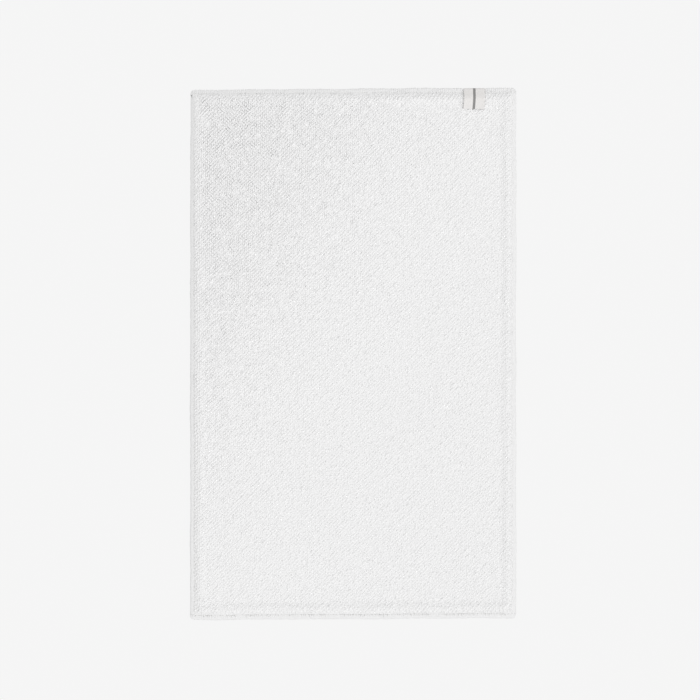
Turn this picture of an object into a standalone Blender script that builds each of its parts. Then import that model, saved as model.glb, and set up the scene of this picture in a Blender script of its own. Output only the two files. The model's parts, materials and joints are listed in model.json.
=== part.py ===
"""Bath mat: a woven terry mat with a folded and stitched hem on each side, and a loop label.

The mat lies flat with the middle of its back on Z = 0 and its centre over the origin. X runs
across the mat, Y along it, and +Y is the end that carries the label. All sizes are in metres.
"""

import math

import bmesh
import bpy

# Overall size
MAT_WIDTH = 0.495
MAT_LENGTH = 0.806

# Ground cloth and its terry pile
CLOTH_THICKNESS = 0.0014
PILE_HEIGHT = 0.0062
PILE_EDGE_RADIUS = 0.0025
FALL_LENGTH = 0.012  # run over which the cloth comes down from the hems to the floor

# Hems: a rim with no pile on it, and cloth turned in under the ground cloth
HEM_THICKNESS = 0.0040
SIDE_RIM_WIDTH = 0.0065
END_RIM_WIDTH = 0.0080
SIDE_TURNING = 0.0060
END_TURNING = 0.0080
CORNER_RADIUS = 0.0035

# Lockstitch seams, each a needle thread above and a bobbin thread below
THREAD_DIAMETER = 0.0006
SEAM_TO_PILE = 0.0012  # from the stitch line to the rim's inner border

# Label, folded double, hanging from a seam on the rim of the top hem
LABEL_WIDTH = 0.032
LABEL_REACH = 0.030  # from the mat's end to the label's fold
LABEL_THICKNESS = 0.0010
LABEL_FROM_SIDE = 0.0477  # from the mat's right side to the label
LABEL_SEAM_INSET = 0.0010  # from the mat's end to the label's seam

CLEARANCE = 0.0003

# Facets in a round shape
NOSE_FACETS = 10
CORNER_STEPS = 5
PILE_EDGE_FACETS = 4
LABEL_BEND_FACETS = 4
LABEL_SEAM_FACETS = 6
SMOOTH_ANGLE = math.radians(40)

# Where the pieces meet
HALF_WIDTH = MAT_WIDTH / 2
HALF_LENGTH = MAT_LENGTH / 2
NOSE_RADIUS = HEM_THICKNESS / 2
LEDGE_HEIGHT = HEM_THICKNESS - CLOTH_THICKNESS - CLEARANCE
GROOVE_SIZE = THREAD_DIAMETER + 2 * CLEARANCE
PILE_BASE = HEM_THICKNESS + CLEARANCE  # where the pile stands on the hems
PILE_TOP = PILE_BASE + PILE_HEIGHT

COTTON_WHITE = (0.83, 0.83, 0.82)
THREAD_WHITE = (0.80, 0.80, 0.79)
LABEL_CREAM = (0.76, 0.74, 0.70)


def clear_scene():
    for obj in list(bpy.data.objects):
        bpy.data.objects.remove(obj)


def material(name, colour, roughness):
    made = bpy.data.materials.new(name)
    made.use_nodes = True
    shader = made.node_tree.nodes["Principled BSDF"]
    shader.inputs["Base Color"].default_value = (*colour, 1)
    shader.inputs["Roughness"].default_value = roughness
    shader.inputs["Metallic"].default_value = 0
    return made


def add_object(name, data, colour, roughness, parent=None):
    obj = bpy.data.objects.new(name, data)
    data.materials.append(material(name, colour, roughness))
    obj.parent = parent
    bpy.context.collection.objects.link(obj)
    return obj


def mesh_from(name, bm, smooth=True):
    """A mesh with its faces turned outward."""
    bmesh.ops.recalc_face_normals(bm, faces=bm.faces)
    mesh = bpy.data.meshes.new(name)
    bm.to_mesh(mesh)
    bm.free()
    if smooth:
        mesh.shade_smooth()
        mesh.set_sharp_from_angle(angle=SMOOTH_ANGLE)
    return mesh


def skinned(sections):
    """A closed body through rings of points, one ring after the other, with a face at each end."""
    bm = bmesh.new()
    rings = [[bm.verts.new(point) for point in section] for section in sections]
    for ring, following in zip(rings, rings[1:]):
        for i in range(len(ring)):
            j = (i + 1) % len(ring)
            bm.faces.new((ring[i], ring[j], following[j], following[i]))
    bm.faces.new(rings[0])
    bm.faces.new(rings[-1])
    return bm


def arc(centre, radius, start, end, facets):
    """Points on an arc, its angles in degrees, both ends included."""
    angles = [math.radians(start + (end - start) * k / facets) for k in range(facets + 1)]
    return [(centre[0] + radius * math.cos(a), centre[1] + radius * math.sin(a)) for a in angles]


# Ground cloth and pile: rectangles one above the other


def rectangle(inset_x, inset_y, height):
    """A ring at a level, set in from the line where the hems' rims end."""
    x = HALF_WIDTH - SIDE_RIM_WIDTH - CLEARANCE - inset_x
    y = HALF_LENGTH - END_RIM_WIDTH - CLEARANCE - inset_y
    return [(-x, -y, height), (x, -y, height), (x, y, height), (-x, y, height)]


def dished_face(height_on_hems):
    """Rings of a face that lies on the hems' ledges and comes down to the floor inside them."""
    side = SIDE_TURNING + CLEARANCE
    end = END_TURNING + CLEARANCE
    low = height_on_hems - (LEDGE_HEIGHT + CLEARANCE)
    return [
        rectangle(side, end, height_on_hems),
        rectangle(side + FALL_LENGTH, end + FALL_LENGTH, low),
    ]


def add_ground_cloth():
    under = HEM_THICKNESS - CLOTH_THICKNESS
    rings = dished_face(under)[::-1]
    rings += [rectangle(0, 0, under), rectangle(0, 0, HEM_THICKNESS)]
    rings += dished_face(HEM_THICKNESS)
    add_object("ground_cloth", mesh_from("ground_cloth", skinned(rings), False), COTTON_WHITE, 0.95)


def add_terry_pile():
    edge = arc((PILE_EDGE_RADIUS, PILE_TOP - PILE_EDGE_RADIUS), PILE_EDGE_RADIUS, 180, 90, PILE_EDGE_FACETS)
    rings = dished_face(PILE_BASE)[::-1]
    rings += [rectangle(0, 0, PILE_BASE)]
    rings += [rectangle(inset, inset, height) for inset, height in edge]
    rings += dished_face(PILE_TOP)
    add_object("terry_pile", mesh_from("terry_pile", skinned(rings)), COTTON_WHITE, 0.95)


# Hems: in each edge's own frame, X runs along the edge and +Y points out of the mat


def hem_profile(rim, turning, retreat):
    """(inward, height) points of a folded hem. A corner makes the nose retreat."""
    stitch_line = rim - SEAM_TO_PILE
    groove = (stitch_line - GROOVE_SIZE / 2, stitch_line + GROOVE_SIZE / 2)
    nose = arc((NOSE_RADIUS + retreat, NOSE_RADIUS), NOSE_RADIUS, 270, 90, NOSE_FACETS)
    top = [
        (groove[0], HEM_THICKNESS),
        (groove[0], HEM_THICKNESS - GROOVE_SIZE),
        (groove[1], HEM_THICKNESS - GROOVE_SIZE),
        (groove[1], HEM_THICKNESS),
        (rim, HEM_THICKNESS),
        (rim, LEDGE_HEIGHT),
        (rim + turning, LEDGE_HEIGHT),
        (rim + turning, 0),
    ]
    bottom = [(groove[1], 0), (groove[1], GROOVE_SIZE), (groove[0], GROOVE_SIZE), (groove[0], 0)]
    return nose + top + bottom


def corner_stations(half, rim):
    """(place along the edge, retreat of the nose) at both rounded corners of an edge."""
    room = rim - SEAM_TO_PILE - GROOVE_SIZE / 2 - 2 * NOSE_RADIUS
    radius = min(CORNER_RADIUS, NOSE_RADIUS + room - CLEARANCE)
    near = [(half - radius + x, radius - y) for x, y in arc((0, 0), radius, 90, 0, CORNER_STEPS)]
    return [(-x, retreat) for x, retreat in near[::-1]] + near


def hem_mesh(name, rim, turning, stations):
    sections = []
    for along, retreat in stations:
        sections.append([(along, -inward, z) for inward, z in hem_profile(rim, turning, retreat)])
    return mesh_from(name, skinned(sections))


def add_thread(name, half, stitch_line, height, parent):
    curve = bpy.data.curves.new(name, "CURVE")
    curve.dimensions = "3D"
    curve.bevel_depth = THREAD_DIAMETER / 2
    curve.bevel_resolution = 2
    curve.use_fill_caps = True
    spline = curve.splines.new("POLY")
    spline.points.add(1)
    for point, x in zip(spline.points, (-half, half)):
        point.co = (x, -stitch_line, height, 1)
    add_object(name, curve, THREAD_WHITE, 0.7, parent)


def add_seam(side, half, rim, parent):
    sunk = CLEARANCE + THREAD_DIAMETER / 2
    stitch_line = rim - SEAM_TO_PILE
    add_thread(f"needle_thread_{side}", half, stitch_line, HEM_THICKNESS - sunk, parent)
    add_thread(f"bobbin_thread_{side}", half, stitch_line, sunk, parent)


def edge_frame(name, location, turn):
    frame = bpy.data.objects.new(name, None)
    frame.location = location
    frame.rotation_euler = (0, 0, math.radians(turn))
    bpy.context.collection.objects.link(frame)
    return frame


def box_mesh(name, low, high):
    bm = bmesh.new()
    bmesh.ops.create_cube(bm, size=1)
    for vert in bm.verts:
        vert.co = [(a + b) / 2 + (b - a) * v for a, b, v in zip(low, high, vert.co)]
    return mesh_from(name, bm, False)


def cut_for_side_hem(hem, side_sign, parent):
    """Leaves room under an end hem's inner border for the side hem that meets it."""
    outer = HALF_WIDTH + CLEARANCE
    inner = HALF_WIDTH - SIDE_RIM_WIDTH - SIDE_TURNING - CLEARANCE
    across = sorted((side_sign * outer, side_sign * inner))
    low = (across[0], -END_RIM_WIDTH - END_TURNING - CLEARANCE, -CLEARANCE)
    high = (across[1], -END_RIM_WIDTH, HEM_THICKNESS + CLEARANCE)
    name = f"{hem.name}_corner_cutter"
    cutter = bpy.data.objects.new(name, box_mesh(name, low, high))
    cutter.parent = parent
    cutter.hide_render = True
    cutter.display_type = "WIRE"
    bpy.context.collection.objects.link(cutter)
    cut = hem.modifiers.new("corner", "BOOLEAN")
    cut.operation = "DIFFERENCE"
    cut.solver = "EXACT"
    cut.object = cutter


def add_end_hem(side, location, turn):
    """A hem over the mat's whole width, with its outer corners rounded."""
    frame = edge_frame(f"{side}_edge", location, turn)
    stations = corner_stations(HALF_WIDTH, END_RIM_WIDTH)
    mesh = hem_mesh(f"hem_{side}", END_RIM_WIDTH, END_TURNING, stations)
    hem = add_object(f"hem_{side}", mesh, COTTON_WHITE, 0.92, frame)
    for side_sign in (-1, 1):
        cut_for_side_hem(hem, side_sign, frame)
    add_seam(side, HALF_WIDTH - SIDE_RIM_WIDTH + SEAM_TO_PILE, END_RIM_WIDTH, frame)


def add_side_hem(side, location, turn):
    """A hem that runs between the two end hems."""
    frame = edge_frame(f"{side}_edge", location, turn)
    half = HALF_LENGTH - END_RIM_WIDTH - CLEARANCE
    mesh = hem_mesh(f"hem_{side}", SIDE_RIM_WIDTH, SIDE_TURNING, [(-half, 0), (half, 0)])
    add_object(f"hem_{side}", mesh, COTTON_WHITE, 0.92, frame)
    add_seam(side, half, SIDE_RIM_WIDTH, frame)


# Label: in the frame of its seam, which is the axis that it swings about


def label_bend():
    """(inward, height) points of the label's middle where it bends over the edge of the pile."""
    middle = LABEL_THICKNESS / 2 + CLEARANCE
    radius = PILE_EDGE_RADIUS + middle
    centre = (END_RIM_WIDTH + CLEARANCE + PILE_EDGE_RADIUS, PILE_TOP - PILE_EDGE_RADIUS)
    run = centre[0] - LABEL_SEAM_INSET
    rise = centre[1] - (HEM_THICKNESS + middle)
    slope = math.atan2(rise, run) + math.asin(radius / math.hypot(run, rise))
    bend = arc(centre, radius, 90 + math.degrees(slope), 90, LABEL_BEND_FACETS)
    return [(inward - LABEL_SEAM_INSET, height - HEM_THICKNESS - middle) for inward, height in bend]


def label_outline():
    """The label seen from its side: round at the seam, straight to the pile, flat along its top."""
    path = [(0, 0), *label_bend(), (LABEL_REACH - LABEL_SEAM_INSET, label_bend()[-1][1])]
    upper, lower = [], []
    for before, at, after in zip(path, path[1:], path[2:]):
        into = math.atan2(at[1] - before[1], at[0] - before[0])
        out = math.atan2(after[1] - at[1], after[0] - at[0])
        normal = (into + out) / 2 + math.pi / 2
        reach = LABEL_THICKNESS / 2 / math.cos((out - into) / 2)
        step = (reach * math.cos(normal), reach * math.sin(normal))
        upper.append((at[0] + step[0], at[1] + step[1]))
        lower.append((at[0] - step[0], at[1] - step[1]))
    leaving = math.degrees(math.atan2(path[1][1], path[1][0]))
    seam = arc((0, 0), LABEL_THICKNESS / 2, leaving + 270, leaving + 90, LABEL_SEAM_FACETS)
    fold = arc(path[-1], LABEL_THICKNESS / 2, 90, -90, LABEL_SEAM_FACETS)
    return seam + upper + fold + lower[::-1]


def add_label():
    half = LABEL_WIDTH / 2
    sections = [[(x, -inward, height) for inward, height in label_outline()] for x in (-half, half)]
    label = add_object("loop_label", mesh_from("loop_label", skinned(sections)), LABEL_CREAM, 0.8)
    label.location = (
        HALF_WIDTH - LABEL_FROM_SIDE - half,
        HALF_LENGTH - LABEL_SEAM_INSET,
        HEM_THICKNESS + CLEARANCE + LABEL_THICKNESS / 2,
    )


def main():
    clear_scene()
    add_ground_cloth()
    add_terry_pile()
    add_end_hem("top", (0, HALF_LENGTH, 0), 0)
    add_end_hem("bottom", (0, -HALF_LENGTH, 0), 180)
    add_side_hem("left", (-HALF_WIDTH, 0, 0), 90)
    add_side_hem("right", (HALF_WIDTH, 0, 0), -90)
    add_label()


main()
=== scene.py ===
"""Bath mat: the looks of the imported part, as woven terry loops, folded hems, lockstitches and a loop label.

Every place comes from the frame. In the frame the mat lies flat on Z = 0, its pile upwards, with
X across it and the label at the +Y end. All sizes are in metres.
"""

import json
import math
from collections import namedtuple

import bpy
import numpy as np
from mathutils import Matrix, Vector


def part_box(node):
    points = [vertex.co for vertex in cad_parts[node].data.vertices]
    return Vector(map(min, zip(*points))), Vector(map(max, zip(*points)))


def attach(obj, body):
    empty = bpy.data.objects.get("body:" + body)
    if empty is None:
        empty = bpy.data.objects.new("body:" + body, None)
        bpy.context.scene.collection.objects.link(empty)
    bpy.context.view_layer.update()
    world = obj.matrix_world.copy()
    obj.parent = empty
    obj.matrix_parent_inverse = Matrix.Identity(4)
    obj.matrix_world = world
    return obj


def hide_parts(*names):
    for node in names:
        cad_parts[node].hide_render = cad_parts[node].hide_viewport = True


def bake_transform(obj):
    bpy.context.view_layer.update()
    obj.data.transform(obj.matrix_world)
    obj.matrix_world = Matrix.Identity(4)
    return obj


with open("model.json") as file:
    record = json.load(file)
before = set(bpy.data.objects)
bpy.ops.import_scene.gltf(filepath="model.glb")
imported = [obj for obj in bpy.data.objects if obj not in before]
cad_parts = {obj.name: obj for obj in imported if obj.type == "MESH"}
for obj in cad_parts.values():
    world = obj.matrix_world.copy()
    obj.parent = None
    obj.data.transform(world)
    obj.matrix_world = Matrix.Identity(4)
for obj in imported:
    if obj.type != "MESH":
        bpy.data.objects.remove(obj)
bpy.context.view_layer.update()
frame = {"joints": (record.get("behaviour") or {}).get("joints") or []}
RNG = np.random.default_rng(7)

# Sizes read from the frame

EDGE_X, EDGE_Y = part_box("hem_right")[1].x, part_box("hem_top")[1].y
HEM_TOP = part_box("hem_top")[1].z
PILE_X, PILE_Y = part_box("ground_cloth")[1].x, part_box("ground_cloth")[1].y
PILE_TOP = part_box("terry_pile")[1].z
PILE_HEIGHT = PILE_TOP - HEM_TOP
SIDE_RIM, END_RIM = EDGE_X - PILE_X, EDGE_Y - PILE_Y
SIDE_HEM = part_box("hem_right")[1].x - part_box("hem_right")[0].x
END_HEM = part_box("hem_top")[1].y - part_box("hem_top")[0].y
GAP = 0.0003  # between two layers of cloth
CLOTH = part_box("terry_pile")[0].z - GAP  # the ground cloth's thickness
LABEL_LOW, LABEL_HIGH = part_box("loop_label")
LABEL_MIDDLE, LABEL_HALF_WIDTH = (LABEL_LOW.x + LABEL_HIGH.x) / 2, (LABEL_HIGH.x - LABEL_LOW.x) / 2
HINGE = Vector(frame["joints"][0]["pos_m"])

# Terry loops, in columns and rows of which every other place is empty

COLUMN_PITCH = 0.00297  # across the mat
ROW_PITCH = 0.00281  # along the mat
YARN_RADIUS = 0.00155
LOOP_HALF_WIDTH = 0.00135  # half the distance between a loop's two legs
YARN_SIDES = 6
LOOP_STEPS = 9
SUNK_SHARE = 0.02  # share of the loops that stand lower than the rest
LOW_LOOP = 0.0009  # the least that a loop stands
OVERLAP = 0.0040  # how far the last loops lean out over the top hem, at most
BED_SHARE = 0.76  # share of the pile's height that the loops' legs fill
BED_DIP = 0.27  # how much less they fill at the far left corner, where the pile stands open
BORDER_SHARE = {"top": 0.2, "left": 0.15, "bottom": 0.8, "right": 0.85}  # the pile's height there, as a share
BORDER_RUN = {"top": 0.012, "left": 0.014, "bottom": 0.009, "right": 0.009}  # run over which it comes down
BANDS = 12  # pieces that the pile is made in

# Cloth on the floor

FALL = 0.012  # run over which the cloth comes down from the hems to the floor
SKEW = 0.0030  # how much higher up the picture the mat's right side lies than its left
GROOVE_DEPTH = 0.0019  # of the deepest grooves between the ribs of the end hems
CORNER = 0.0065  # radius of the mat's corners
EDGE_SLOPE = {  # how much lower each hem's outer edge lies, at the two ends of its own run
    "top": (0.0034, 0.0006),
    "right": (0, 0.0007),
    "bottom": (0.0009, 0.0002),
    "left": (0.0002, 0.0036),
}
SIDE_STITCH = 2 * ROW_PITCH
END_STITCH = 0.0042
THREAD_RADIUS = 0.00034

# Label

TAPE = 0.00042  # thickness of one layer of the label's tape
UNDER_HEM = 2.2 * TAPE  # room under the hem for the label's two layers
STRIPE_SHARE = 0.12  # share of the tape's width that its stripe takes
LABEL_TURN = math.radians(-2.2)  # how the label lies askew
LABEL_PULL = 0.0013  # how far the label draws the hem in
LABEL_RISE = 0.0058  # how far it climbs from the hem onto the pile
LABEL_SAG = 0.0018  # how far it comes down again to its tip
LABEL_TIP = EDGE_Y - LABEL_LOW.y + 0.0022  # how far in from the mat's edge its tip lies

# Studio

SKY_TILT = (0.12, -0.10, 0.5)  # the sky's light grows this way, most of it upwards
SKY_LEVEL = 0.52  # its strength at right angles to that
SEEN_SKY = 0.92  # its strength as the camera sees it
FLOOR_GLOW, SEEN_FLOOR_GLOW = 0.4, 0.86  # the floor's own light, on the mat and as the camera sees it


def smoothstep(t):
    t = np.clip(t, 0, 1)
    return t * t * (3 - 2 * t)


def soft_noise(x, y, wavelength, seed):
    """A smooth random field from -1 to 1, as a sum of waves in all directions."""
    rng = np.random.default_rng(seed)
    total = np.zeros(np.broadcast(x, y).shape)
    count = 14
    for _ in range(count):
        angle = rng.uniform(0, 2 * math.pi)
        number = 2 * math.pi / (wavelength * rng.uniform(0.7, 1.6))
        phase = rng.uniform(0, 2 * math.pi)
        total += np.sin(number * (x * math.cos(angle) + y * math.sin(angle)) + phase)
    return total / math.sqrt(count * 2)


def settled(points):
    """Lays points of the straight mat as the soft mat lies: a little askew, with edges that waver."""
    side_waver, end_waver, unevenness = 0.0005, 0.0006, 0.0006
    x, y, z = points[..., 0], points[..., 1], points[..., 2]
    near_side, near_end = np.abs(x / EDGE_X) ** 3, np.abs(y / EDGE_Y) ** 3
    moved = np.empty(points.shape)
    moved[..., 0] = x + side_waver * near_side * soft_noise(np.sign(x), y, 0.09, 3)
    moved[..., 1] = y + SKEW * x / (2 * EDGE_X) + end_waver * near_end * soft_noise(x, np.sign(y), 0.08, 4)
    lift = unevenness * np.maximum(1 + soft_noise(x, y, 0.21, 5), 0)
    moved[..., 2] = z + lift * (1 - near_side) * (1 - near_end)
    return moved


def cloth_top(x, y):
    """Height of the ground cloth's upper face: on the hems at the border, and near the floor inside."""
    from_side = PILE_X - np.abs(x) - (SIDE_HEM - SIDE_RIM)
    from_end = PILE_Y - np.abs(y) - (END_HEM - END_RIM)
    inside = np.minimum(from_side, from_end)
    return HEM_TOP - (HEM_TOP - CLOTH) * smoothstep(inside / FALL)


# Meshes


def new_mesh(name, points, quads, caps=None, uv=None, uv_name="OFBake"):
    """An object of quads, and of end caps with any number of corners, shaded smooth."""
    faces = [np.asarray(quads).reshape(-1, 4)] + ([] if caps is None else [np.asarray(caps)])
    corners = np.concatenate([f.ravel() for f in faces])
    sizes = np.concatenate([np.full(len(f), f.shape[1]) for f in faces])
    mesh = bpy.data.meshes.new(name)
    mesh.vertices.add(len(points))
    mesh.vertices.foreach_set("co", np.asarray(points, np.float32).ravel())
    mesh.loops.add(len(corners))
    mesh.loops.foreach_set("vertex_index", corners.astype(np.int32))
    mesh.polygons.add(len(sizes))
    mesh.polygons.foreach_set("loop_start", np.concatenate([[0], np.cumsum(sizes)[:-1]]).astype(np.int32))
    if uv is not None:
        mesh.uv_layers.new(name=uv_name)
        mesh.uv_layers[uv_name].uv.foreach_set("vector", np.asarray(uv, np.float32)[corners].ravel())
    mesh.update(calc_edges=True)
    mesh.shade_smooth()
    obj = bpy.data.objects.new(name, mesh)
    bpy.context.collection.objects.link(obj)
    return obj


def from_above(points):
    """A map of the points as they are seen from above, filling the square."""
    flat = points[:, :2]
    low, high = flat.min(0), flat.max(0)
    return 0.01 + 0.98 * (flat - low) / (high - low)


def grid_faces(index):
    """Quads between the points of a grid, from the points' numbers."""
    return np.stack([index[:-1, :-1], index[1:, :-1], index[1:, 1:], index[:-1, 1:]], -1).reshape(-1, 4)


def sheet_faces(rows, columns):
    """Quads of a closed sheet, whose points are a grid for its upper face and then one for its lower face."""
    count = rows * columns
    index = np.arange(count).reshape(rows, columns)
    upper = grid_faces(index)
    ring = np.concatenate([index[:, 0], index[-1, 1:], index[-2::-1, -1], index[0, -2:0:-1]])
    after = np.roll(ring, -1)
    rim = np.stack([after, ring, ring + count, after + count], -1)
    return np.concatenate([upper, upper[:, ::-1] + count, rim])


def made_of(piece, material, stands_for):
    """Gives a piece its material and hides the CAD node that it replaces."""
    piece.data.materials.append(material)
    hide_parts(stands_for)


def tube_faces(tubes, rings, sides):
    """Faces round tubes that are stored one after the other, ring by ring, and their end caps."""
    first = np.arange(tubes)[:, None, None] * rings * sides
    ring = np.arange(rings - 1)[None, :, None] * sides
    side = np.arange(sides)[None, None, :]
    after = (side + 1) % sides
    here = first + ring
    quads = np.stack([here + side, here + after, here + sides + after, here + sides + side], -1)
    start = np.arange(tubes)[:, None] * rings * sides + np.arange(sides)[None, ::-1]
    end = np.arange(tubes)[:, None] * rings * sides + (rings - 1) * sides + np.arange(sides)[None, :]
    return quads.reshape(-1, 4), np.concatenate([start, end])


def tubes_along(paths, across, radii, sides, twist=0.0, flatness=0.0):
    """Points round paths of (tube, step, xyz). across points out of each path's own plane."""
    along = np.gradient(paths, axis=1)
    along /= np.linalg.norm(along, axis=-1, keepdims=True)
    first = across - (across * along).sum(-1, keepdims=True) * along
    first /= np.linalg.norm(first, axis=-1, keepdims=True)
    second = np.cross(along, first)
    turn = 2 * math.pi * np.arange(sides) / sides
    step = np.arange(paths.shape[1])[:, None] * twist
    radius = radii[..., None] * (1 + flatness * np.cos(2 * turn[None, None, :] - step[None]))
    spoke = np.cos(turn)[:, None] * first[:, :, None] + np.sin(turn)[:, None] * second[:, :, None]
    return paths[:, :, None] + radius[..., None] * spoke


# Terry pile


def loop_places():
    """(x, y) of each loop, row by row, with the rows running across the mat."""
    room_x, room_y = PILE_X - 0.6 * YARN_RADIUS, PILE_Y - LOOP_HALF_WIDTH
    columns = np.arange(-int(room_x / COLUMN_PITCH), int(room_x / COLUMN_PITCH) + 1)
    rows = np.arange(-int(room_y / ROW_PITCH), int(room_y / ROW_PITCH) + 1)
    row, column = np.meshgrid(rows, columns, indexing="ij")
    standing = (row + column) % 2 == 0
    return column[standing] * COLUMN_PITCH, row[standing] * ROW_PITCH


def loop_paths(x, y):
    """Middle lines of the loops' yarn, and the direction across each loop's own plane."""
    rooted = 0.0003  # how deep a loop's feet are in the cloth
    wander, scatter = 0.00035, 0.0002  # how far they stray, along with the loops round them and by themselves
    count = len(x)
    x_base = x + wander * soft_noise(x, y, 0.035, 11) + RNG.normal(0, scatter, count)
    y_base = y + wander * soft_noise(x, y, 0.035, 12) + RNG.normal(0, scatter, count)
    facing = math.pi / 2 + 0.3 * soft_noise(x, y, 0.05, 13) + RNG.normal(0, 0.3, count)
    height = (PILE_HEIGHT - YARN_RADIUS) * border_share(x, y) + RNG.normal(-0.0003, 0.0003, count)
    height -= np.where(RNG.random(count) < SUNK_SHARE, RNG.uniform(0.0008, 0.002, count), 0)
    height = np.maximum(pressed_by_label(x_base, y_base, height), LOW_LOOP)
    sway, own_lean = 0.0005, 0.0003
    lean_x = sway * soft_noise(x, y, 0.03, 14) + RNG.normal(0, own_lean, count)
    lean_y = sway * soft_noise(x, y, 0.03, 15) + RNG.normal(0, own_lean, count)
    over_left, over_top = 0.7 * OVERLAP * loose_border(y), OVERLAP * rib_patches("top", x) * clear_of_label(x)
    lean_x += outward_lean(x, PILE_X, 0.012, 0.0008 + over_left, -0.0004)
    lean_y += outward_lean(y, PILE_Y, 0.008, -0.0004, 0.0012 + over_top)
    width = LOOP_HALF_WIDTH * RNG.uniform(0.85, 1.15, count)
    arch = np.linspace(-math.pi / 2, math.pi / 2, LOOP_STEPS - 2)
    reach = np.concatenate([[-1], np.sin(arch), [1]])[None] * width[:, None]
    drop = np.concatenate([[0], np.cos(arch), [0]])[None] * width[:, None]
    rise = height[:, None] - width[:, None] + drop
    rise[:, [0, -1]] = 0
    bow = (rise / height[:, None]) ** 2
    paths = np.empty((count, LOOP_STEPS, 3))
    paths[..., 0] = x_base[:, None] + np.cos(facing)[:, None] * reach + lean_x[:, None] * bow
    paths[..., 1] = y_base[:, None] + np.sin(facing)[:, None] * reach + lean_y[:, None] * bow
    paths[..., 2] = (cloth_top(x, y) - rooted)[:, None] + rise
    across = np.stack([-np.sin(facing), np.cos(facing), np.zeros(count)], -1)
    return paths, np.repeat(across[:, None], LOOP_STEPS, 1)


def border_share(x, y, tightness=1):
    """The pile's height as a share of its full height. More tightness: it comes down nearer the border."""
    sides = {"top": PILE_Y - y, "bottom": PILE_Y + y, "left": PILE_X + x, "right": PILE_X - x}
    lost = []
    for side, away in sides.items():
        lost.append((1 - BORDER_SHARE[side]) * (1 - smoothstep(away / BORDER_RUN[side] * tightness)))
    return 1 - np.max(lost, axis=0)


def outward_lean(place, half, run, low, high):
    """How far loops near two opposite borders lean outwards: by low at the first, by high at the second."""
    return smoothstep(1 - (half - np.abs(place)) / run) * np.where(place > 0, high, -low)


def rib_patches(side, x):
    """From 0 to 1 along the top or bottom edge: where its yarns stand out as ribs."""
    seed = {"top": 21, "bottom": 24}[side]
    return smoothstep(0.6 + 1.1 * soft_noise(x, 0 * x, 0.025, seed))


def loose_border(y):
    """From 0 to 1 along the left edge: where the last loops hide the hem, more towards the bottom."""
    return smoothstep((PILE_Y - y - 0.02) / 0.12) * (0.75 + 0.25 * soft_noise(0 * y, y, 0.05, 25))


def clear_of_label(x):
    """0 across the label's width, 1 away from it."""
    run = 0.004
    return smoothstep((np.abs(x - LABEL_MIDDLE) - LABEL_HALF_WIDTH) / run)


def label_level(y):
    """Height of the label's middle layer: up from the hem onto the pile, then down with the cloth."""
    inward = EDGE_Y - y
    rise = LABEL_RISE * smoothstep(inward / 0.019)
    return HEM_TOP + rise - LABEL_SAG * smoothstep((inward - 0.016) / 0.018)


def pressed_by_label(x, y, height):
    """Loops under the label stay below it."""
    beside, before = 0.0005, 0.0025  # how far from the label loops are still pressed
    middle = LABEL_MIDDLE + math.sin(LABEL_TURN) * (EDGE_Y - y)
    under = (np.abs(x - middle) < LABEL_HALF_WIDTH + beside) & (y > LABEL_LOW.y - before)
    room = label_level(y) - 1.5 * TAPE - cloth_top(x, y) - YARN_RADIUS
    return np.where(under, np.minimum(height, room), height)


def make_pile(material):
    x, y = loop_places()
    paths, across = loop_paths(x, y)
    steps = np.abs(np.linspace(-1, 1, LOOP_STEPS))
    fullness = RNG.uniform(0.92, 1.08, len(x)) * (0.6 + 0.4 * border_share(x, y, 1.5))
    radii = YARN_RADIUS * fullness[:, None] * (1 - 0.3 * steps**4)[None]
    points = tubes_along(paths, across, radii, YARN_SIDES, twist=1.1, flatness=0.1)
    bands = []
    for k, members in enumerate(np.array_split(np.arange(len(x)), BANDS)):
        placed = settled(points[members]).reshape(-1, 3)
        quads, caps = tube_faces(len(members), LOOP_STEPS, YARN_SIDES)
        band = new_mesh(f"terry_loops_{k + 1:02d}", placed, quads, caps, uv=from_above(placed))
        made_of(band, material, "terry_pile")
        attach(band, "mat")
        bands.append(band)
    return bands


def make_pile_bed(material):
    """The loops' crowded legs, as the one soft layer that shows between the loops' heads."""
    over, sunk = 0.0008, 0.0003  # how far it comes over the hems, and how deep its edge is in them
    x = np.concatenate([[-PILE_X - over], np.linspace(-PILE_X, PILE_X, 167), [PILE_X + over]])
    y = np.concatenate([[-PILE_Y - over], np.linspace(-PILE_Y, PILE_Y, 289), [PILE_Y + over]])
    gx, gy = np.meshgrid(x, y, indexing="ij")
    from_border = np.minimum(PILE_X - np.abs(gx), PILE_Y - np.abs(gy))
    outside = np.clip(-from_border / over, 0, 1)
    fullness = BED_SHARE - BED_DIP * smoothstep((gy / PILE_Y - gx / PILE_X + 0.5) / 2.5)
    loops = (PILE_HEIGHT - YARN_RADIUS) * border_share(gx, gy) + YARN_RADIUS * border_share(gx, gy, 1.5)
    height = fullness * loops * (0.35 + 0.65 * smoothstep(from_border / 0.004)) * (1 - outside)
    height = pressed_by_label(gx, gy, height * (1 + 0.08 * soft_noise(gx, gy, 0.006, 16))) - sunk * outside
    points = settled(np.stack([gx, gy, cloth_top(gx, gy) + height], -1).reshape(-1, 3))
    quads = grid_faces(np.arange(gx.size).reshape(gx.shape))
    bed = new_mesh("terry_bed", points, quads, uv=from_above(points))
    made_of(bed, material, "terry_pile")
    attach(bed, "mat")
    return bed


# Ground cloth


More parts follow.
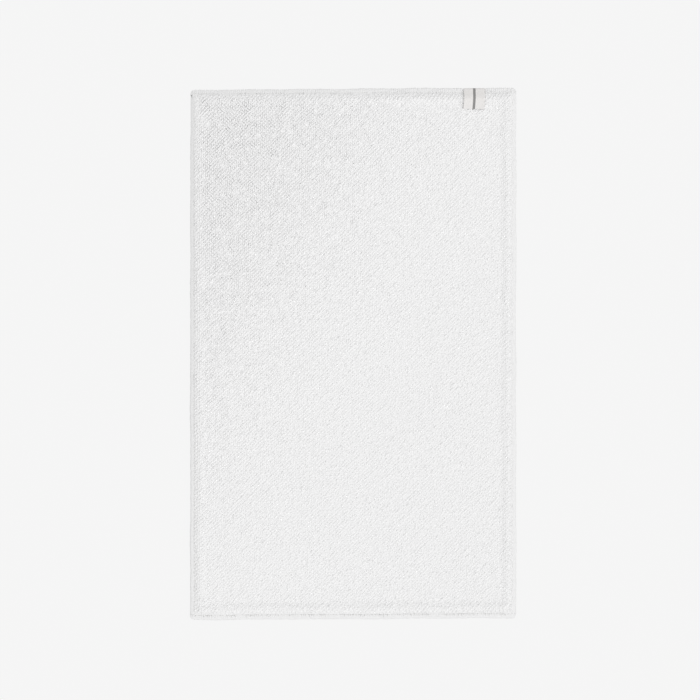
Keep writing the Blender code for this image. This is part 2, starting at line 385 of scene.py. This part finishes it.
def make_ground(material):
    """The cloth that the loops stand in, as a closed sheet of two faces."""
    across, along = 90, 144
    over = 0.0001  # how far it reaches past the pile, under the hems' edges
    x = np.linspace(-PILE_X - over, PILE_X + over, across)
    y = np.linspace(-PILE_Y - over, PILE_Y + over, along)
    gx, gy = np.meshgrid(x, y, indexing="ij")
    top = np.stack([gx, gy, cloth_top(gx, gy)], -1)
    under = top - np.array([0, 0, CLOTH])
    points = settled(np.concatenate([top.reshape(-1, 3), under.reshape(-1, 3)]))
    sheet = new_mesh("ground_sheet", points, sheet_faces(across, along))
    made_of(sheet, material, "ground_cloth")
    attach(sheet, "mat")
    return sheet


# Hems, made in each edge's own frame: along the edge, inward from it, and up

Edge = namedtuple("Edge", "side half thread_half rim hem seam pitch spacing")


def edge_sizes(side):
    """An edge's half lengths of hem and thread, widths of rim and hem, and its seam's place and pitch."""
    low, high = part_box(f"needle_thread_{side}")
    if side in ("top", "bottom"):
        seam = EDGE_Y - abs(low.y + high.y) / 2
        return Edge(side, EDGE_X, (high.x - low.x) / 2, END_RIM, END_HEM, seam, END_STITCH, COLUMN_PITCH / 8)
    seam = EDGE_X - abs(low.x + high.x) / 2
    return Edge(side, PILE_Y, (high.y - low.y) / 2, SIDE_RIM, SIDE_HEM, seam, SIDE_STITCH, SIDE_STITCH / 8)


def placed_on_edge(side, along, inward, height):
    """Points of an edge's frame, in the mat's frame."""
    if side == "top":
        return np.stack([along, EDGE_Y - inward, height], -1)
    if side == "bottom":
        return np.stack([-along, inward - EDGE_Y, height], -1)
    if side == "left":
        return np.stack([inward - EDGE_X, along, height], -1)
    return np.stack([EDGE_X - inward, -along, height], -1)


def hem_outline(rim, hem, count):
    """(inward, height) points round a folded hem, evenly spaced, and their outward normals."""
    nose = HEM_TOP / 2
    ledge = HEM_TOP - CLOTH - GAP
    soft = 0.0006  # how round the inner edges are
    turns = np.linspace(-math.pi / 2, -1.5 * math.pi, 15)
    around = [(nose + nose * math.cos(a), nose + nose * math.sin(a)) for a in turns]
    inner = [(rim, HEM_TOP), (rim + soft / 2, ledge + soft), (rim + soft, ledge)]
    turned_in = [(hem - soft, ledge), (hem, ledge - soft), (hem, soft), (hem - soft, 0)]
    corners = np.array([*around, *inner, *turned_in, around[0]])
    lengths = np.concatenate([[0], np.cumsum(np.linalg.norm(np.diff(corners, axis=0), axis=1))])
    at = np.linspace(0, lengths[-1], count, endpoint=False)
    outline = np.stack([np.interp(at, lengths, corners[:, k]) for k in (0, 1)], -1)
    tangent = np.roll(outline, -1, 0) - np.roll(outline, 1, 0)
    normal = np.stack([-tangent[:, 1], tangent[:, 0]], -1)
    return outline, normal / np.linalg.norm(normal, axis=1, keepdims=True)


def seam_dip(edge, along, inward):
    """How deep the stitches pull the cloth in, most at each needle hole."""
    reach, between_holes, at_holes = 0.0009, 0.0001, 0.0006
    row = np.exp(-(((inward - edge.seam) / reach) ** 2))
    hole = ((1 + np.cos(2 * math.pi * along / edge.pitch)) / 2) ** 4
    return row * (between_holes + at_holes * hole)


def grooves(along, patches):
    """Grooves between the columns of yarn that run over an end hem: every other one deeper, in patches."""
    place = along / COLUMN_PITCH
    narrow = (1 - np.abs(np.cos(math.pi * place))) ** 0.9
    turns = 0.75 + 0.25 * (-1.0) ** np.floor(place)
    return GROOVE_DEPTH * narrow * turns * (0.25 + 0.75 * patches)


def relief(edge, along, inward):
    """How far a hem's surface stands off its plain outline."""
    uneven = 0.0002 * soft_noise(along, inward, 0.012, 22)
    share = inward / edge.rim
    if edge.side == "top":
        fading = 1 - 0.8 * smoothstep((share - 0.6) / 0.25)
        return uneven - grooves(along, rib_patches("top", along)) * fading
    if edge.side == "bottom":
        return uneven - grooves(along, rib_patches("bottom", along)) * smoothstep((share - 0.4) / 0.3)
    return uneven + 0.0001 * np.cos(2 * math.pi * along / SIDE_STITCH) * smoothstep(share)


def thinned(edge, half, along, inward, height):
    """Lowers a hem towards its outer edge, by different amounts at its two ends."""
    start, end = EDGE_SLOPE[edge.side]
    slope = start + (end - start) * (along / half + 1) / 2
    return height * (1 - slope / HEM_TOP * np.clip(1 - inward / edge.rim, 0, 1))


def rounded_corners(edge, along, inward, height):
    """An end hem's nose draws back at both corners, and its ends are round.

    The part of it that is turned in ends a little short of them.
    """
    from_end = edge.half - np.abs(along)
    retreat = CORNER - np.sqrt(CORNER**2 - np.clip(CORNER - from_end, 0, CORNER) ** 2)
    bluntness = 0.0016
    thin = np.sqrt(1 - np.clip(1 - from_end / bluntness, 0, 0.9) ** 2)
    middle = HEM_TOP / 2
    height = middle + (height - middle) * thin
    stop_short = 0.003
    short = 1 - stop_short / edge.half * (inward > edge.rim + GAP)
    return along * short, inward + retreat * np.clip(1 - inward / edge.rim, 0, 1), height


def drawn_in(along, inward, height):
    """The top hem's nose is pulled in where the label goes round it, and stands on the label."""
    near = 1 - clear_of_label(along)
    pull = LABEL_PULL * near * np.clip(1 - inward / END_RIM, 0, 1)
    return inward + pull, np.maximum(height, UNDER_HEM * near)


def make_hem(edge, material):
    near_floor, floor_share = 0.0004, 0.3  # the underside keeps this share of its dips, and no bumps
    outline, normal = hem_outline(edge.rim, edge.hem, 44)
    stations = np.linspace(-edge.half, edge.half, 1 + round(2 * edge.half / edge.spacing))
    along, inward = np.meshgrid(stations, outline[:, 0], indexing="ij")
    height = np.broadcast_to(outline[:, 1], along.shape)
    raised = relief(edge, along, inward) - seam_dip(edge, along, inward)
    raised = np.where(height < near_floor, np.minimum(raised, 0) * floor_share, raised)
    inward = inward + normal[:, 0] * raised
    height = thinned(edge, edge.half, along, inward, height + normal[:, 1] * raised)
    if edge.side in ("top", "bottom"):
        along, inward, height = rounded_corners(edge, along, inward, height)
    if edge.side == "top":
        inward, height = drawn_in(along, inward, height)
    points = placed_on_edge(edge.side, along, inward, height).reshape(-1, 3)
    index = np.arange(len(points)).reshape(along.shape)
    after = np.roll(index, -1, 1)
    quads = np.stack([index[:-1], after[:-1], after[1:], index[1:]], -1)
    caps = np.stack([index[0, ::-1], index[-1]])
    piece = new_mesh(f"hem_{edge.side}_fold", settled(points), quads, caps)
    made_of(piece, material, f"hem_{edge.side}")
    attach(piece, "mat")
    return piece


def make_stitches(edge, kind, level, up, material):
    """A row of stitches, each a short bow of thread from hole to hole, over (up = 1) or under the hem."""
    bow_height = 0.0007
    count = int(2 * edge.thread_half / edge.pitch)
    holes = (np.arange(count) - (count - 1) / 2) * edge.pitch
    steps = np.linspace(-1, 1, 7)
    along = holes[:, None] + steps[None] * edge.pitch * 0.47
    inward = edge.seam + RNG.normal(0, 0.00008, (count, 1)) + 0.00012 * steps[None]
    bow = (1 - steps**4) * bow_height
    height = np.broadcast_to(level + up * (bow - bow_height), along.shape)
    height = thinned(edge, edge.thread_half, along, inward, height)
    paths = placed_on_edge(edge.side, along, inward, height)
    radii = np.broadcast_to(THREAD_RADIUS * (1 - 0.25 * steps**4), along.shape)
    across = np.zeros(paths.shape)
    across[..., 2] = 1
    sideways = np.cross(across, np.gradient(paths, axis=1))
    points = settled(tubes_along(paths, sideways, radii, 6)).reshape(-1, 3)
    quads, caps = tube_faces(count, len(steps), 6)
    piece = new_mesh(f"{kind}_stitches_{edge.side}", points, quads, caps)
    made_of(piece, material, f"{kind}_thread_{edge.side}")
    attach(piece, "mat")
    return piece


def make_edge(side, cotton, thread):
    """A hem and its two rows of stitches."""
    edge = edge_sizes(side)
    pieces = [make_hem(edge, cotton)]
    pieces.append(make_stitches(edge, "needle", HEM_TOP - THREAD_RADIUS, 1, thread))
    pieces.append(make_stitches(edge, "bobbin", THREAD_RADIUS, -1, thread))
    return pieces


# Label


def label_path():
    """(inward, height) of the tape's middle line: from under the hem, round its nose and over the pile."""
    nose = HEM_TOP / 2 + TAPE
    start = LABEL_PULL + HEM_TOP / 2
    turns = np.linspace(-0.5 * math.pi, -1.4 * math.pi, 10)
    sewn_end, onto_hem = 0.0075, 0.0048  # how far in these are
    round_nose = [(start + nose * math.cos(a), HEM_TOP / 2 + nose * math.sin(a)) for a in turns]
    over = [(inward, label_level(EDGE_Y - inward)) for inward in np.linspace(onto_hem, LABEL_TIP, 12)]
    knots = np.array([(sewn_end, 0), *round_nose, *over])
    line = smooth_line(knots, 60)
    line[:, 1] = np.maximum(line[:, 1], UNDER_HEM / 2)
    return line


def smooth_line(knots, count):
    """Points on a smooth curve through knots."""
    lengths = np.concatenate([[0], np.cumsum(np.linalg.norm(np.diff(knots, axis=0), axis=1))])
    at = np.linspace(0, lengths[-1], count)
    line = np.stack([np.interp(at, lengths, knots[:, k]) for k in range(knots.shape[1])], -1)
    for _ in range(6):
        line[1:-1] = (line[:-2] + 2 * line[1:-1] + line[2:]) / 4
    return line


def make_label(material):
    """The tape, folded double at the label's tip, with both ends sewn in under the hem."""
    one_way = label_path()
    step = np.gradient(one_way, axis=0)
    normal = np.stack([step[:, 1], -step[:, 0]], -1)
    normal /= np.linalg.norm(normal, axis=1, keepdims=True)
    onward = step[-1] / np.linalg.norm(step[-1])
    apart = 0.62 * TAPE  # from the middle line to the middle of each layer
    turns = np.linspace(0, math.pi, 7)[1:-1]
    fold = [one_way[-1] + apart * (math.cos(a) * -normal[-1] + math.sin(a) * onward) for a in turns]
    line = np.concatenate([one_way - apart * normal, fold, (one_way + apart * normal)[::-1]])
    return tape_mesh(line, material)


def tape_mesh(line, material):
    """A closed band of the tape's thickness along a line of (inward, height) points."""
    widths = np.linspace(-1, 1, 25)
    step = np.gradient(line, axis=0)
    normal = np.stack([step[:, 1], -step[:, 0]], -1)
    normal /= np.linalg.norm(normal, axis=1, keepdims=True)
    faces = [line + side * normal * TAPE * 0.45 for side in (-1, 1)]
    grid = np.empty((2, len(line), len(widths), 3))
    for k, face in enumerate(faces):
        grid[k, :, :, 0] = widths[None] * LABEL_HALF_WIDTH
        grid[k, :, :, 1] = face[:, :1]
        grid[k, :, :, 2] = face[:, 1:]
    points = lie_askew(grid).reshape(-1, 3)
    along = np.linspace(0, 1, len(line))
    uv = np.stack(np.broadcast_arrays((widths[None] + 1) / 2, along[:, None]), -1).reshape(-1, 2)
    quads = sheet_faces(len(line), len(widths))
    label = new_mesh("label_tape", points, quads, uv=np.concatenate([uv, uv]), uv_name="tape")
    made_of(label, material, "loop_label")
    hinge = Vector(settled(np.array(HINGE)))
    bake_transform(label)
    return label


def lie_askew(grid):
    """Puts the label's points on the mat, turned a little about its seam, with a slight curl."""
    across, inward, height = grid[..., 0], grid[..., 1], grid[..., 2]
    held, edge_curl, corner_curl = 0.004, 0.0006, 0.0011
    share = across / LABEL_HALF_WIDTH
    free = smoothstep((inward - held) / LABEL_TIP) * (height > HEM_TOP)
    curl = edge_curl * free * share**2 + corner_curl * free**3 * np.clip(share, 0, 1) ** 2
    points = np.empty(grid.shape)
    points[..., 0] = LABEL_MIDDLE + across + np.sin(LABEL_TURN) * inward * free
    points[..., 1] = EDGE_Y - inward + np.sin(LABEL_TURN) * across * free
    points[..., 2] = height + curl
    return settled(points)


# Materials


def shader_of(name, roughness, sheen):
    """A new material with its node tree and its shader."""
    made = bpy.data.materials.new(name)
    made.use_nodes = True
    tree = made.node_tree
    shader = tree.nodes["Principled BSDF"]
    shader.inputs["Roughness"].default_value = roughness
    shader.inputs["Sheen Weight"].default_value = sheen
    shader.inputs["Sheen Roughness"].default_value = 0.5
    shader.inputs["Specular IOR Level"].default_value = 0.25
    return made, tree, shader


def node(tree, kind, settings=None, **inputs):
    """A shader node with its properties set, and each input set or linked."""
    made = tree.nodes.new(kind)
    for key, value in (settings or {}).items():
        setattr(made, key, value)
    for key, value in inputs.items():
        socket = made.inputs[int(key[1:])] if key[0] == "i" and key[1:].isdigit() else made.inputs[key]
        if isinstance(value, bpy.types.NodeSocket):
            tree.links.new(value, socket)
        else:
            socket.default_value = value
    return made


def varied_colour(tree, place, light, dark, scale):
    """Colour that drifts between two close tones."""
    noise = node(tree, "ShaderNodeTexNoise", Vector=place, Scale=scale, Detail=3.0)
    mix = node(tree, "ShaderNodeMix", {"data_type": "RGBA"}, Factor=noise.outputs["Fac"])
    mix.inputs["A"].default_value = (*dark, 1)
    mix.inputs["B"].default_value = (*light, 1)
    return mix.outputs["Result"]


def bands_texture(tree, place, direction, pitch):
    """Soft stripes at this pitch."""
    settings = {"wave_type": "BANDS", "bands_direction": direction}
    wave = node(tree, "ShaderNodeTexWave", settings, Vector=place, Scale=math.pi / 10 / pitch)
    return wave.outputs["Fac"]


def add_bump(tree, shader, height, distance, strength=1.0):
    bump = node(tree, "ShaderNodeBump", Height=height, Distance=distance, Strength=strength)
    tree.links.new(bump.outputs["Normal"], shader.inputs["Normal"])


def terry_material(name, tufts):
    """Soft spun cotton: nearly white, matt, with a fine fuzz, and tufts of this depth."""
    made, tree, shader = shader_of(name, roughness=0.95, sheen=0.08)
    place = node(tree, "ShaderNodeTexCoord").outputs["Object"]
    colour = varied_colour(tree, place, (0.972, 0.97, 0.971), (0.932, 0.93, 0.931), 170.0)
    tree.links.new(colour, shader.inputs["Base Color"])
    fuzz = node(tree, "ShaderNodeTexNoise", Vector=place, Scale=1800.0, Detail=2.0)
    lumps = node(tree, "ShaderNodeTexNoise", Vector=place, Scale=330.0, Detail=1.0)
    fine = node(tree, "ShaderNodeMath", {"operation": "MULTIPLY"}, i0=fuzz.outputs["Fac"], i1=0.0002)
    both = node(tree, "ShaderNodeMath", {"operation": "MULTIPLY_ADD"}, i1=tufts, i2=fine.outputs["Value"])
    tree.links.new(lumps.outputs["Fac"], both.inputs[0])
    add_bump(tree, shader, both.outputs["Value"], 1.0)
    return made


def woven_material():
    """Plain weave of the ground cloth and hems."""
    made, tree, shader = shader_of("woven_cotton", roughness=0.9, sheen=0.08)
    place = node(tree, "ShaderNodeTexCoord").outputs["Object"]
    colour = varied_colour(tree, place, (0.932, 0.93, 0.931), (0.882, 0.88, 0.881), 260.0)
    tree.links.new(colour, shader.inputs["Base Color"])
    warp = bands_texture(tree, place, "X", 0.00099)
    weft = bands_texture(tree, place, "Y", 0.00115)
    cross = node(tree, "ShaderNodeMath", {"operation": "MULTIPLY"}, i0=warp, i1=weft)
    add_bump(tree, shader, cross.outputs["Value"], 0.0002, 0.7)
    return made


def thread_material():
    """Twisted sewing thread."""
    made, tree, shader = shader_of("sewing_thread_cotton", roughness=0.6, sheen=0.1)
    place = node(tree, "ShaderNodeTexCoord").outputs["Object"]
    colour = varied_colour(tree, place, (0.88, 0.88, 0.87), (0.8, 0.8, 0.79), 500.0)
    tree.links.new(colour, shader.inputs["Base Color"])
    twist = bands_texture(tree, place, "DIAGONAL", 0.0004)
    add_bump(tree, shader, twist, 0.0001, 0.6)
    return made


def label_material():
    """Fine cream tape with close ribs and one plain woven stripe."""
    made, tree, shader = shader_of("label_weave", roughness=0.65, sheen=0.1)
    place = node(tree, "ShaderNodeUVMap", {"uv_map": "tape"}).outputs["UV"]
    plain = varied_colour(tree, place, (0.92, 0.9, 0.888), (0.85, 0.832, 0.818), 30.0)
    across = node(tree, "ShaderNodeSeparateXYZ", Vector=place).outputs["X"]
    stripe = node(tree, "ShaderNodeMath", {"operation": "COMPARE"}, i0=across, i1=0.5, i2=STRIPE_SHARE / 2)
    striped = node(tree, "ShaderNodeMix", {"data_type": "RGBA"}, Factor=stripe.outputs["Value"], A=plain)
    striped.inputs["B"].default_value = (0.3, 0.295, 0.29, 1)
    tree.links.new(striped.outputs["Result"], shader.inputs["Base Color"])
    ribs_across = bands_texture(tree, place, "X", 0.012)
    add_bump(tree, shader, ribs_across, 0.0001, 0.5)
    return made


def floor_material():
    """A pale sweep that keeps only a hint of shadow and throws little light back."""
    made, tree, shader = shader_of("studio_floor", roughness=0.9, sheen=0.0)
    shader.inputs["Base Color"].default_value = (0.06, 0.06, 0.06, 1)
    shader.inputs["Emission Color"].default_value = (1, 1, 1, 1)
    ray = node(tree, "ShaderNodeLightPath").outputs["Is Camera Ray"]
    glow = node(tree, "ShaderNodeMix", i0=ray, i2=FLOOR_GLOW, i3=SEEN_FLOOR_GLOW)
    tree.links.new(glow.outputs[0], shader.inputs["Emission Strength"])
    shader.inputs["Specular IOR Level"].default_value = 0.0
    return made


# Studio


def add_camera():
    """Straight above the mat, with a long lens."""
    view_width = 1.0636  # of the picture, at the height of the hems
    lens, sensor = 85, 36
    data = bpy.data.cameras.new("camera")
    data.lens = lens
    data.sensor_width = sensor
    camera = bpy.data.objects.new("camera", data)
    camera.location = (-0.0048, 0.0057, HEM_TOP / 2 + view_width * lens / sensor)
    bpy.context.collection.objects.link(camera)
    bpy.context.scene.camera = camera


def add_sun(name, toward, spread, strength):
    """Light from far away in one direction, softened over an angle."""
    data = bpy.data.lights.new(name, "SUN")
    data.angle = spread
    data.energy = strength
    light = bpy.data.objects.new(name, data)
    light.rotation_euler = Vector(toward).to_track_quat("Z", "Y").to_euler()
    bpy.context.collection.objects.link(light)


def add_studio():
    """Soft light from all over the sky, one weak sun, and a pale floor."""
    world = bpy.data.worlds.new("studio")
    world.use_nodes = True
    background = world.node_tree.nodes["Background"]
    background.inputs["Color"].default_value = (1, 1, 1, 1)
    tree = world.node_tree
    direction = node(tree, "ShaderNodeTexCoord").outputs["Generated"]
    toward = node(tree, "ShaderNodeVectorMath", {"operation": "DOT_PRODUCT"}, i0=direction, i1=SKY_TILT)
    lit = node(tree, "ShaderNodeMath", {"operation": "ADD"}, i0=toward.outputs["Value"], i1=SKY_LEVEL)
    ray = node(tree, "ShaderNodeLightPath").outputs["Is Camera Ray"]
    strength = node(tree, "ShaderNodeMix", i0=ray, i2=lit.outputs["Value"], i3=SEEN_SKY)
    tree.links.new(strength.outputs[0], background.inputs["Strength"])
    bpy.context.scene.world = world
    add_sun("key", toward=(1.2, -1.0, 1.5), spread=0.3, strength=0.4)
    under_mat = -0.0005
    bpy.ops.mesh.primitive_plane_add(size=12, location=(0, 0, under_mat))
    floor = bpy.context.object
    floor.name = "studio_floor"
    floor.data.materials.append(floor_material())
    bpy.context.scene.view_settings.view_transform = "Standard"


def main():
    add_camera()
    cotton, thread = woven_material(), thread_material()
    ground = make_ground(cotton)
    on_ground = [make_pile_bed(terry_material("terry_roots", 0.0018))]
    on_ground += make_pile(terry_material("terry_cotton", 0.0002))
    for side in ("top", "bottom", "left", "right"):
        on_ground += make_edge(side, cotton, thread)
    label = make_label(label_material())
    add_studio()


main()
